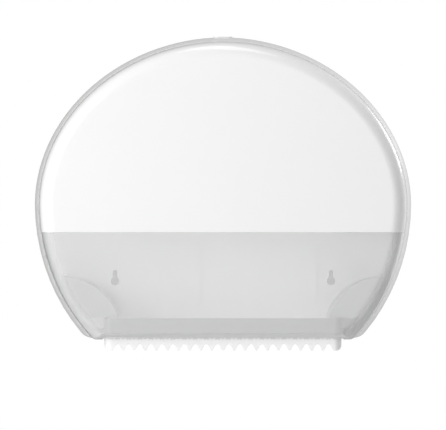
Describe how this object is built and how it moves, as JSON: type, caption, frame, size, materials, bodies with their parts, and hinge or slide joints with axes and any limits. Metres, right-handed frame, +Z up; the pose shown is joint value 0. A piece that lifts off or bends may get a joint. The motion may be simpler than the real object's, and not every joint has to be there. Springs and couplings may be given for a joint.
{
  "type": "jumbo toilet roll dispenser",
  "caption": "Wall dispenser for jumbo toilet rolls: round-topped white casing, cover hinged at the bottom with a translucent lower window, toothed tear bar, roll spindle and push-button lock.",
  "frame": {"origin": "on the wall plane, in the middle of the screw pattern, level with the casing's widest line", "axes": "+Z up, the front faces -Y, the wall is at y = 0 with its screws along Y, +X to the right of a person facing the dispenser"},
  "size_m": [0.437, 0.133, 0.361],
  "materials": {
    "cover_white": "glossy moulded ABS",
    "casing_white": "satin moulded ABS",
    "window_grey": "glossy milky translucent",
    "guide_grey": "satin",
    "spindle_grey": "satin",
    "dark_grey": "satin",
    "button_grey": "satin",
    "brake_black": "matte",
    "steel": "zinc plated"
  },
  "bodies": {
    "casing": {"back_plate": "casing_white", "tear_bar": "casing_white", "guide_left": "guide_grey", "guide_right": "guide_grey", "main_axle": "dark_grey", "brake_spring": "steel", "brake_ring": "brake_black", "axle_washer": "steel", "axle_screw": "steel", "stub_post": "spindle_grey", "fixing_screws": "steel", "hinge_pin_left": "steel", "hinge_pin_right": "steel", "lock_housing": "spindle_grey", "lock_spring": "steel"},
    "cover": {"cover_shell": "cover_white", "cover_window": "window_grey", "cover_hinge_left": "casing_white", "cover_hinge_right": "casing_white", "cover_catch": "spindle_grey"},
    "hub": {"main_hub": "spindle_grey", "hub_cap": "dark_grey"},
    "button": {"lock_button": "button_grey"}
  },
  "joints": [
    {"name": "cover_swing", "type": "hinge", "parent": "casing", "child": "cover", "pos_m": [0, -0.05, -0.1488], "axis": [1, 0, 0], "range_deg": [0, 90]},
    {"name": "hub_spin", "type": "hinge", "parent": "casing", "child": "hub", "pos_m": [-0.042, -0.059, 0.031], "axis": [0, -1, 0], "continuous": true},
    {"name": "lock_press", "type": "slide", "parent": "casing", "child": "button", "axis": [0, 0, -1], "range_m": [0, 0.004], "stiffness_N_per_m": 800, "springref_m": -0.003, "deforming": ["lock_spring"]}
  ]
}
